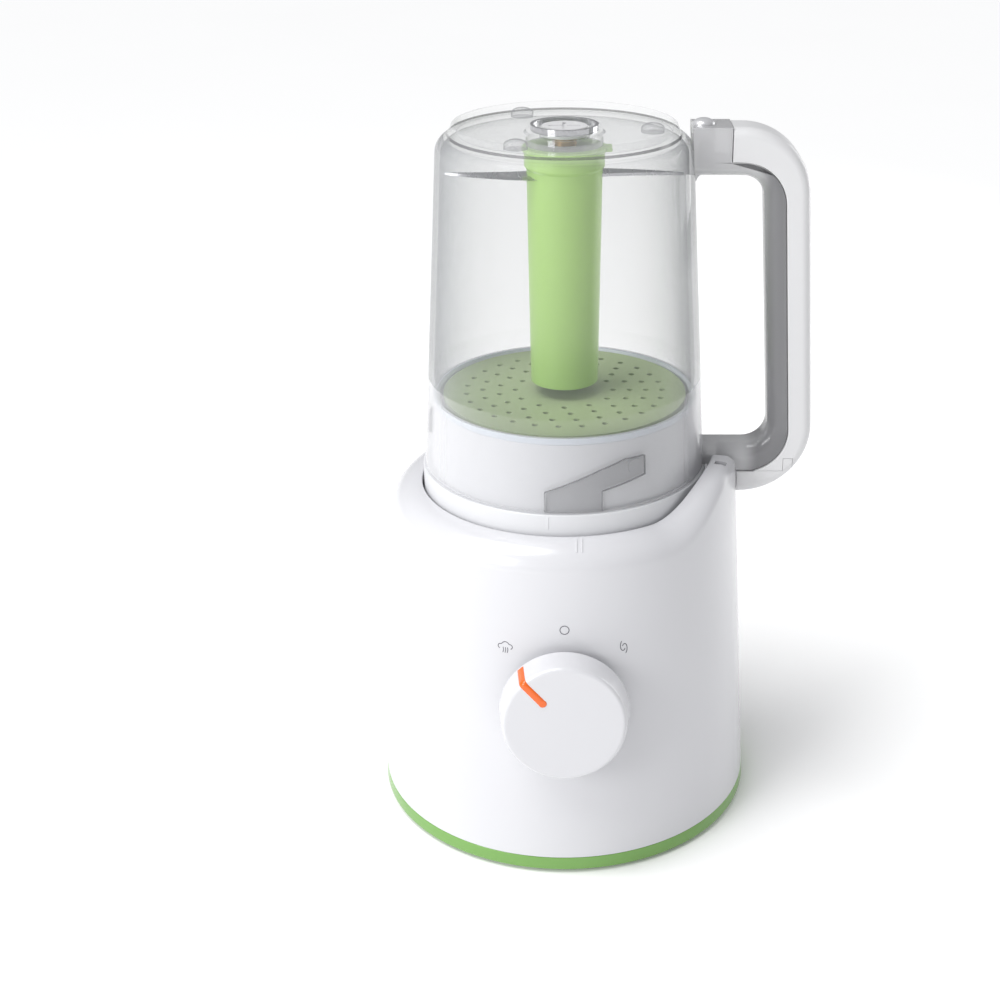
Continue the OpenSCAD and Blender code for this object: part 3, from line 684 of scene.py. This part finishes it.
def knob():
    """The round dial, and the orange pointer laid in its face and side."""
    length = 15.4
    face_r = 25.1
    outline = rounded([(0, 3, 0), (KNOB_R - 0.05, 3, 0.5), (KNOB_R - 0.25, 4.6, 1.0),
                       (face_r + 0.3, length, 2.2), (0, length, 0)], 8)
    dial = revolve("dial", outline, 200, knob_place(), 40.0)
    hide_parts("knob")
    dress(dial, "white_shell", "knob_unit")

    inner = 13.2
    proud = 0.25
    top = length + proud
    side = [Vector(p) for p in outline if p[0] > 20 and p[1] > 4.4][::-1]
    path = [(inner, top)]
    for i in range(1, len(side) - 1):
        along = (side[i + 1] - side[i - 1]).normalized()
        path.append((side[i].x - along.y * proud, side[i].y + along.x * proud))
    width, depth, soft = 3.4, 1.2, 0.35
    bm = bmesh.new()
    rows = []
    for i, (r, z) in enumerate(path):
        after = path[min(i + 1, len(path) - 1)]
        before = path[max(i - 1, 0)]
        along = Vector((after[0] - before[0], after[1] - before[1])).normalized()
        down = Vector((along.y, -along.x))
        row = []
        for y, sink in ((-width / 2, depth), (-width / 2, soft), (-width / 2 + soft, 0),
                        (width / 2 - soft, 0), (width / 2, soft), (width / 2, depth)):
            row.append(bm.verts.new((r + down.x * sink, y, z + down.y * sink)))
        rows.append(row)
    skin_into(bm, rows)
    round_end = bmesh.new()
    revolve_into(round_end, rounded([(0, top - depth, 0), (width / 2, top - depth, 0),
                                     (width / 2, top, soft), (0, top, 0)]), 40)
    move_into(bm, round_end, Matrix.Translation((inner, 0, 0)))
    bm.transform(knob_place() @ Matrix.Rotation(math.radians(REST_TURN), 4, "Z"))
    pointer = finish_mesh(bm, "dial_pointer", 50.0)
    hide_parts("knob_pointer")
    dress(pointer, "pointer", "knob_unit")


# ---- lid and sieve


def lid():
    """The jar's lid, upside down on the base: flange, inner wall, three lugs and three tabs."""
    floor = 150.6
    outline = rounded([
        (0, floor, 0), (FLANGE_R - 2.2, floor, 0.6), (FLANGE_R - 2.2, FLANGE_LOW, 0.5),
        (FLANGE_R, FLANGE_LOW, 0.9), (FLANGE_R, 160.0, 0.6), (57.8, 160.0, 0.4), (55.9, LID_TOP, 0.5),
        (53.7, LID_TOP, 0.4), (54.0, 184, 0.2), (50.5, 184, 0.4), (50.5, 182, 0.3), (54.3, 179, 0.4),
        (55.6, floor + 2.2, 0.8), (0, floor + 2.2, 0)])
    bm = bmesh.new()
    revolve_into(bm, outline, 200)
    for k in range(3):
        turn = Matrix.Rotation(math.radians(120 * k - 60), 4, "Z")
        cylinder_into(bm, 3.3, -1.2, 1.2, turn @ Matrix.Translation((56.7, 0, 177))
                      @ Matrix.Rotation(math.pi / 2, 4, "Y"))
        tab = turn @ Matrix.Rotation(math.radians(90), 4, "Z") @ Matrix.Translation((59.2, 0, 147))
        bmesh.ops.create_cube(bm, size=1, matrix=tab @ Matrix.Diagonal((3.2, 15.6, 8.6, 1)))
    piece = finish_mesh(bm, "lid_shell")
    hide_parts("lid")
    dress(piece, "white_lid", "lid_unit")


def blade_unit():
    """The green tube that carries the blades, and the two swept blades."""
    outline = rounded([
        (3.1, TUBE_LOW + 82, 0), (12.6, TUBE_LOW + 82, 1.0), (12.2, TUBE_LOW, 0.3), (14.3, TUBE_LOW, 0.6),
        (15.5, 287, 0.4), (16.4, 288.2, 0.6), (16.4, 293.6, 0.8), (17.4, 294.5, 0.4), (17.4, TUBE_TOP, 0.6),
        (3.1, TUBE_TOP, 0)])
    bm = bmesh.new()
    revolve_into(bm, outline, 128)
    tab = rounded([(14, 294.4, 0), (19.3, 294.4, 0.5), (19.3, TUBE_TOP - 0.05, 0.5),
                   (14, TUBE_TOP - 0.05, 0)])
    prism_into(bm, tab, 8)
    tube = finish_mesh(bm, "blade_tube")
    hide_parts("blade_hub")
    dress(tube, "green_part", "blade_unit")

    bm = bmesh.new()
    revolve_into(bm, rounded([(3.1, BLADE_Z, 0), (8.9, BLADE_Z, 0.2), (8.9, BLADE_Z + 1.2, 0.2),
                              (3.1, BLADE_Z + 1.2, 0)]), 64)
    for side in (0, 1):
        rows = []
        for i in range(15):
            t = i / 14
            x = 4 + 44.5 * t
            front = 11.4 - 10.4 * t * t
            rear = -5.9 * (1 - t) ** 3
            edge = front - 3.0 * (1 - t * t) - 0.5
            section = [(rear, 0), (edge, 0), (front, 0.4), (edge, 1.2), (rear, 1.2)]
            turn = math.pi * side
            rows.append([bm.verts.new((x * math.cos(turn) - y * math.sin(turn),
                                       x * math.sin(turn) + y * math.cos(turn), BLADE_Z + z))
                         for y, z in section])
        skin_into(bm, rows)
    piece = finish_mesh(bm, "swept_blades", 12.0)
    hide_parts("blades")
    dress(piece, "steel", "blade_unit")


# ---- jar


# Share of the slope above the end's corner that becomes the painted shade line round the ridge.
SHADE_LINE_SHARE = 0.26
GROOVE_SKIN = 0.9


def jar_outline():
    """Closed outline (radius, height) of the jar's wall, end and coupling cup."""
    corner = 294.2
    corner_r = 7.0
    end = 301.7
    inner_top = end - 2.5
    in_r = jar_r(290) - 2.4
    outside = [(SKIRT_R, SKIRT_Z + 0.4), (jar_r(200), 200), (jar_r(250), 250)]
    outside += arc(jar_r(corner) - corner_r, corner, corner_r, 3.5, 74, 12)
    foot = Vector(outside[-1])
    # An extra point here splits off the band that is painted as a dark shade line.
    outside.append(tuple(foot.lerp(Vector((45.6, JAR_TOP - 0.4)), SHADE_LINE_SHARE)))
    ridge = rounded([(46.0, JAR_TOP - 2.0, 0.5), (45.6, JAR_TOP - 0.4, 0.5), (45.0, JAR_TOP - 0.02, 0.3),
                     (44.3, JAR_TOP - 0.3, 0.3), (43.5, end, 0.7), (16.6, end, 0.8), (15.4, 302.6, 0.3),
                     (12.6, 302.5, 0), (12.6, 305.0, 0.3), (10.2, 305.0, 0.3)])[6:]
    cup = [(10.2, 299.8), (5, 299.8), (5, 296.8), (15.7, 296.8), (15.7, inner_top)]
    inside = arc(in_r - 6, inner_top - 6, 6, 90, 5, 8)
    inside += [(jar_r(250) - 2.4, 250), (jar_r(200) - 2.4, 200), (55.0, 191.6), (56.5, 191.6),
               (58.3, SKIRT_Z), (SKIRT_R - 0.4, SKIRT_Z)]
    return outside + ridge + cup + inside


def tint_jar_and_paint_shade(shell):
    """Clearer plastic in the flat end, whiter in the skirt, and darker, denser plastic as painted shade in
    the grooves and on a line round the ridge.
    """
    for name in ("clear_end", "clear_skirt", "groove_painted_shade", "line_painted_shade"):
        shell.data.materials.append(MATERIALS[name])
    for face in shell.data.polygons:
        x, y, z = face.center / MM
        r = math.hypot(x, y)
        outward = (face.normal.x * x + face.normal.y * y) / max(r, 1)
        inside_wall = 54.5 < r < jar_r(z) - 0.3
        if abs(face.normal.z) > 0.9 and z > 298:
            face.material_index = 1
        # A band round the ridge in dark plastic: a painted shade line.
        elif 300.95 < z < 302.1 and r > 45.5 and abs(face.normal.z) < 0.75:
            face.material_index = 4
        elif z > 302 and r > 43.4:
            face.material_index = 1
        # The grooves' floors: darker plastic as painted shade in the recess.
        elif z < 182 and outward < -0.8 and abs(r - jar_r(z) + GROOVE_SKIN) < 0.12:
            face.material_index = 3
        # The grooves' side and end faces in the same dark plastic: painted shade.
        elif SKIRT_Z + 0.5 < z < 182 and inside_wall and abs(outward) < 0.5:
            face.material_index = 4
        elif z < 192:
            face.material_index = 2


def groove_columns():
    """Bearing, bottom and top of a bayonet groove: a wide entry, then a climb that ends level."""
    columns = []
    for i in range(24):
        deg = -38 + i
        columns.append((deg, 158.3, 168.8 + 9.2 * i / 23))
    for i in range(1, 21):
        deg = -15 + 0.96 * i
        columns.append((deg, 168.8 + 4.1 * i / 20, min(178 + 0.31 * (deg + 15), 181.1)))
        if i == 1:
            columns.insert(-1, (-14.95, 168.8, 178.0))
    return columns


def jar():
    """The clear jar, upside down: wall, closed end with its ridge, coupling cup and lug grooves."""
    shell = revolve("clear_jar_wall", jar_outline(), 220, None, 28.0)
    tools = bmesh.new()
    for k in range(3):
        columns = []
        for deg, bottom, top in groove_columns():
            turn = math.radians(deg + 120 * k - 60)
            columns.append([tools.verts.new((r * math.cos(turn), r * math.sin(turn), z))
                            for r, z in ((52, bottom), (jar_r(bottom) - GROOVE_SKIN, bottom),
                                         (jar_r(top) - GROOVE_SKIN, top), (52, top))])
        skin_into(tools, columns)
    cut(shell, finish_mesh(tools, "grooves"), 28.0)
    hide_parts("jar")
    dress(shell, "clear_jar", "jar_unit")
    tint_jar_and_paint_shade(shell)

    bm = bmesh.new()
    reach = 35.5
    dome = [(0, 301.5), (4.7, 301.5)]
    dome += [(4.7 * math.cos(a), 303.2 + 2.1 * math.sin(a))
             for a in [math.radians(9 * i) for i in range(10)]]
    dome += [(0, 305.3)]
    for az in (0, 120, 238):
        turn = math.radians(az)
        foot = bmesh.new()
        revolve_into(foot, dome, 40)
        move_into(bm, foot, Matrix.Translation((reach * math.cos(turn), reach * math.sin(turn), 0)))
    bmesh.ops.remove_doubles(bm, verts=bm.verts, dist=1e-5)
    feet = finish_mesh(bm, "jar_end_feet")
    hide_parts("jar_feet")
    dress(feet, "clear_jar", "jar_unit")


# ---- handle

LEAN = 0.0634
BAR_W = 8.4
GRIP_T = 10.2
GRIP_TOP = JAR_TOP - 0.5
STRIP_Z = 291.4
BOX_X = 67.0
ARM_LOW = 156.9
ARM_TOP = 168.6
ARM_UNDER = 285.0
SEAM_Z = 157.2
SEAM_GAP = 0.08
STEP_X = 94.4
TONGUE_X = 98.5
TONGUE_Z = 163.0
CAP_X = 74.8
LOW_ARC_R = 30.0
LOW_ARC_Z = 176.6
TOP_ARC_R = 28.0
TOP_ARC_Z = 277.0
OUTER_ROUND = 4.2
GAP_ROUND = 6.2


def outer_x(z):
    """The handle's outer side at a height."""
    return 105.86 - (z - 178) * LEAN


def split_x(z):
    """Where the white grip meets the grey frame at a height."""
    return outer_x(z) - GRIP_T


def inner_x(z):
    """The finger gap's side of the frame at a height."""
    return split_x(z) - BAR_W


def outer_line():
    """The handle's outer outline from the top of the box, round to the lower end."""
    return (arc(outer_x(TOP_ARC_Z) - TOP_ARC_R, TOP_ARC_Z, TOP_ARC_R, 90, 3.6, 22)
            + arc(outer_x(LOW_ARC_Z) - LOW_ARC_R, LOW_ARC_Z, LOW_ARC_R, 3.6, -90, 26))


def split_line(grow=0.0):
    """The line between the white grip and the grey frame, from the top down to the lower arm."""
    return (arc(split_x(272.8) - 18.3, 272.8 + 0.1, 18.4 + grow, 90, 3.6, 16)
            + arc(split_x(175) - 18.3, 175, 18.3 + grow, 3.6, -80, 18))


def gap_line():
    """The finger gap's outline from the upper left corner, round to the lower left."""
    top, low_c = ARM_UNDER - 9, ARM_TOP + 10
    return ([(60.2, ARM_UNDER)] + arc(inner_x(top) - 9, top, 9, 90, 3.6, 14)
            + arc(inner_x(low_c) - 10, low_c, 10, 3.6, -90, 16))


ROD_PATH = [(STEM_X, 291), (80.5, 291), (86, 284), (90.9, 184), (91.4, 170), (87, 164), (66.5, 164)]


def band(path, width, drop=0.0):
    """A band of one width along a path in the handle's plane."""
    sides = ([], [])
    last = len(path) - 1
    for i in range(last + 1):
        here = Vector(path[i])
        into = (here - Vector(path[max(i - 1, 0)])).normalized() if i else None
        out = (Vector(path[min(i + 1, last)]) - here).normalized() if i < last else None
        into = into or out
        out = out or into
        a, b = Vector((-into.y, into.x)), Vector((-out.y, out.x))
        shift = (a + b) / (1 + a.dot(b)) * width / 2
        for line, sign in zip(sides, (1, -1)):
            point = here + shift * sign
            line.append((point.x, point.y - drop))
    return sides[0] + sides[1][::-1]


def jar_cutter():
    """A cone just outside the jar over a drum just outside the lid, to trim the handle's ends."""
    drum_r = FLANGE_R + 0.9
    return revolve("jar_cutter", [(0, 150), (drum_r, 150), (drum_r, 160.2), (jar_r(160.2) + 0.02, 160.2),
                                  (jar_r(312) + 0.02, 312), (0, 312)], 220)


def handle():
    """The grey frame with room for the push rod inside, the white grip over it and the end cap below."""
    frame_outline = ([(42, GRIP_TOP), (BOX_X, GRIP_TOP), (BOX_X, STRIP_Z - 0.1)] + split_line()
                     + [(50, ARM_LOW), (50, ARM_TOP)] + gap_line()[::-1] + [(42, ARM_UNDER)])

    def frame_rounds(x, z):
        return GAP_ROUND if ARM_TOP - 0.5 < z < ARM_UNDER + 0.5 and x < inner_x(z) + 0.5 else 0.4

    frame_piece = slab("handle_frame_shell", frame_outline, FRAME_W, frame_rounds)
    rod_room = bmesh.new()
    prism_into(rod_room, band(ROD_PATH, 5.8, 1.25), 4.8)
    cut(frame_piece, finish_mesh(rod_room, "rod_room"), 38.0)
    spring_room = [(0, 287.2), (3.4, 287.2), (3.4, 296.9), (1.9, 296.9), (1.9, 300), (0, 300)]
    cut(frame_piece, revolve("spring_room", spring_room, 48, Matrix.Translation((STEM_X, 0, 0))), 38.0)
    button_room = [(0, 298.9), (5, 298.9), (5, 312), (0, 312)]
    cut(frame_piece, revolve("button_room", button_room, 64, Matrix.Translation((BUTTON_X, 0, 0))), 38.0)
    cut(frame_piece, jar_cutter(), 38.0)
    apply(frame_piece, "WEIGHTED_NORMAL", keep_sharp=True)
    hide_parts("handle_frame")
    dress(frame_piece, "grey_frame", "jar_unit")

    web_r = jar_r(ARM_UNDER)
    web_line = [(web_r - 3, ARM_UNDER - 0.05)] + arc(web_r + 4.0, ARM_UNDER - 3.6, 3.5, 90, 172, 6)
    web_line += [(web_r - 3, ARM_UNDER - 3.2)]
    web = slab("handle_web", web_line, 2.6, lambda x, z: 0.3)
    cut(web, jar_cutter(), 38.0)
    dress(web, "grey_frame", "jar_unit")

    low_c = Vector((outer_x(LOW_ARC_Z) - LOW_ARC_R, LOW_ARC_Z))
    top_c = Vector((outer_x(TOP_ARC_Z) - TOP_ARC_R, TOP_ARC_Z))
    cover_outline = ([(BOX_X + 0.25, GRIP_TOP)] + outer_line()
                     + [(CAP_X, low_c.y - LOW_ARC_R), (CAP_X, ARM_LOW - 0.2), (82, ARM_LOW - 0.2)]
                     + split_line(0.15)[::-1][1:] + [(BOX_X + 0.25, STRIP_Z + 0.15)])

    def cover_rounds(x, z):
        here = Vector((x, z))
        if z > top_c.y:
            outer = (here - top_c).length > TOP_ARC_R - 1 or x < top_c.x and z > GRIP_TOP - 1
        elif z > low_c.y:
            outer = x > outer_x(z) - 2
        else:
            outer = (here - low_c).length > LOW_ARC_R - 0.5
        return OUTER_ROUND if outer else 0.35

    for node, gap, operation in (("handle_grip", -SEAM_GAP, "DIFFERENCE"),
                                 ("handle_end_cap", SEAM_GAP, "INTERSECT")):
        piece = slab(node + "_shell", cover_outline, GRIP_W, cover_rounds)
        seam_z, step_x, tongue_z, tongue_x = SEAM_Z - gap, STEP_X + gap, TONGUE_Z - gap, TONGUE_X - gap
        below_seam = bmesh.new()
        prism_into(below_seam, [(70, 140), (70, seam_z), (step_x, seam_z), (step_x, tongue_z),
                                (tongue_x, tongue_z), (tongue_x, 140)], GRIP_W + 4)
        cut(piece, finish_mesh(below_seam, "below_seam"), 38.0, operation)
        apply(piece, "WEIGHTED_NORMAL", keep_sharp=True)
        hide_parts(node)
        dress(piece, "white_grip", "jar_unit")


def push_rod():
    """The sprung rod that runs through the handle, its joints, and the domed button at its top."""
    bm = bmesh.new()
    prism_into(bm, band(ROD_PATH, 2.6), 4.0)
    for x, z, wide in ((86.4, 276, 4.4), (87.2, 259, 4.6), (90.3, 196, 4.4)):
        place = Matrix.Translation((x, 0, z)) @ Matrix.Diagonal((wide, 4.4, 1.8, 1))
        bmesh.ops.create_cube(bm, size=1, matrix=place)
    cylinder_into(bm, 1.8, 291, 302, Matrix.Translation((STEM_X, 0, 0)))
    cylinder_into(bm, 3.1, 291, 293.4, Matrix.Translation((STEM_X, 0, 0)))
    rod = finish_mesh(bm, "rod_bar")
    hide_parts("push_rod")
    dress(rod, "rod_grey", "rod_unit")
    top = high("push_rod").z
    start = 304.6
    dome = [(0, 301.5), (4.7, 301.5)] + [(4.7 * math.cos(a), start + (top - start) * math.sin(a))
                                        for a in [math.radians(7.5 * i) for i in range(12)]] + [(0, top)]
    button = revolve("rod_button", dome, 64, Matrix.Translation((BUTTON_X, 0, 0)))
    dress(button, "button_metal", "rod_unit")


# ---- spring


def plunger_coil():
    """The safety switch's return spring, as wound wire."""
    bottom, top = low("plunger_spring"), high("plunger_spring")
    wire, turns, travel = 0.7, 6, 3.0
    radius = (top.x - bottom.x - wire) / 2
    middle = (bottom + top) / 2
    count = turns * 28
    rows = []
    bm = bmesh.new()
    for i in range(count + 1):
        a = math.tau * turns * i / count
        z = bottom.z + wire / 2 + (top.z - bottom.z - wire) * i / count
        row = []
        for k in range(8):
            b = math.tau * k / 8
            r = radius + wire / 2 * math.cos(b)
            row.append(bm.verts.new((middle.x + r * math.cos(a), middle.y + r * math.sin(a),
                                     z + wire / 2 * math.sin(b))))
        rows.append(row)
    skin_into(bm, rows)
    coil = finish_mesh(bm, "plunger_coil")
    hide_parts("plunger_spring")
    dress(coil, "steel", "base")
    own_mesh(coil)


# ---- stage


def stage():
    """Pale floor, soft studio light and the camera."""
    bpy.ops.mesh.primitive_plane_add(size=60, location=(0, 0, -0.0002))
    floor = bpy.context.object
    floor.name = "floor"
    material, tree, shader = new_material("floor")
    tree.links.new(tone(tree, noise_of(tree, 3), (0.93, 0.93, 0.93), (0.95, 0.95, 0.95)),
                   shader.inputs["Base Color"])
    shader.inputs["Roughness"].default_value = 0.9
    shader.inputs["Emission Color"].default_value = (1, 1, 1, 1)
    shader.inputs["Emission Strength"].default_value = 0.08
    floor.data.materials.append(material)

    world = bpy.data.worlds.new("studio")
    world.use_nodes = True
    sky = world.node_tree.nodes["Background"]
    sky.inputs["Color"].default_value = (0.97, 0.98, 1.0, 1)
    sky.inputs["Strength"].default_value = 0.34
    bpy.context.scene.world = world

    def lamp(name, kind, energy, place, target, **settings):
        data = bpy.data.lights.new(name, kind)
        data.energy = energy
        for key, value in settings.items():
            setattr(data, key, value)
        obj = bpy.data.objects.new(name, data)
        bpy.context.scene.collection.objects.link(obj)
        obj.location = place
        aim = Vector(target) - Vector(place)
        obj.rotation_euler = aim.to_track_quat("-Z", "Y").to_euler()

    lamp("key", "SUN", 2.2, (-1.2, -0.45, 2.7), (0, 0, 0.1), angle=math.radians(40))
    lamp("left_box", "AREA", 6.5, (-0.8, -0.8, 0.55), (0, 0, 0.17), size=0.5)
    lamp("rim_box", "AREA", 3.0, (0.8, 0.55, 0.35), (0, 0, 0.17), size=0.6)

    camera = bpy.data.objects.new("camera", bpy.data.cameras.new("camera"))
    camera.data.sensor_width = 36
    camera.data.lens = 58.68
    camera.data.shift_x = -0.0645
    camera.location = (0, -0.6564, 0.4420)
    camera.rotation_euler = (math.radians(65.2), 0, 0)
    bpy.context.scene.collection.objects.link(camera)
    bpy.context.scene.camera = camera
    bpy.context.scene.view_settings.view_transform = "Standard"


CAD_LOOKS = {
    "base_plate": "grey_plastic", "rubber_feet": "rubber", "base_screws": "steel",
    "jar_seat": "inner_white", "seat_seals": "silicone", "steam_pipe": "steel",
    "boiler_tank": "aluminium", "tank_cover": "inner_white", "heating_element": "steel",
    "thermostat": "black_plastic", "motor_stator": "lamination", "motor_coils": "copper",
    "lower_bracket": "steel", "upper_bracket": "steel", "motor_bearings": "bronze",
    "motor_mounts": "rubber", "rotary_switch": "black_plastic", "cord_gland": "grey_plastic",
    "terminal_block": "inner_white", "control_board": "board", "lock_switch": "black_plastic",
    "switch_plunger": "grey_plastic", "knob_shaft": "steel", "rotor": "lamination",
    "motor_shaft": "steel", "cooling_fan": "black_plastic", "drive_coupling": "grey_plastic",
    "lock_ring": "inner_white", "lid_seal": "silicone", "sieve": "green_sieve",
    "coupling_ring": "chrome", "shaft_bush": "bronze", "rod_spring": "steel", "blade_shaft": "steel",
    "jar_coupling": "inner_white", "cap_plug": "white_grip", "cap_seal": "silicone",
}


def dress_cad():
    """Gives the carried-over CAD nodes their materials."""
    for node, material in CAD_LOOKS.items():
        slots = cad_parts[node].data.materials
        slots.clear()
        slots.append(MATERIALS[material])


make_materials()
stage()
housing_shell()
inlet_neck()
inlet_cap()
base_band()
symbols()
index_marks()
knob()
lid()
blade_unit()
jar()
handle()
push_rod()
plunger_coil()
dress_cad()
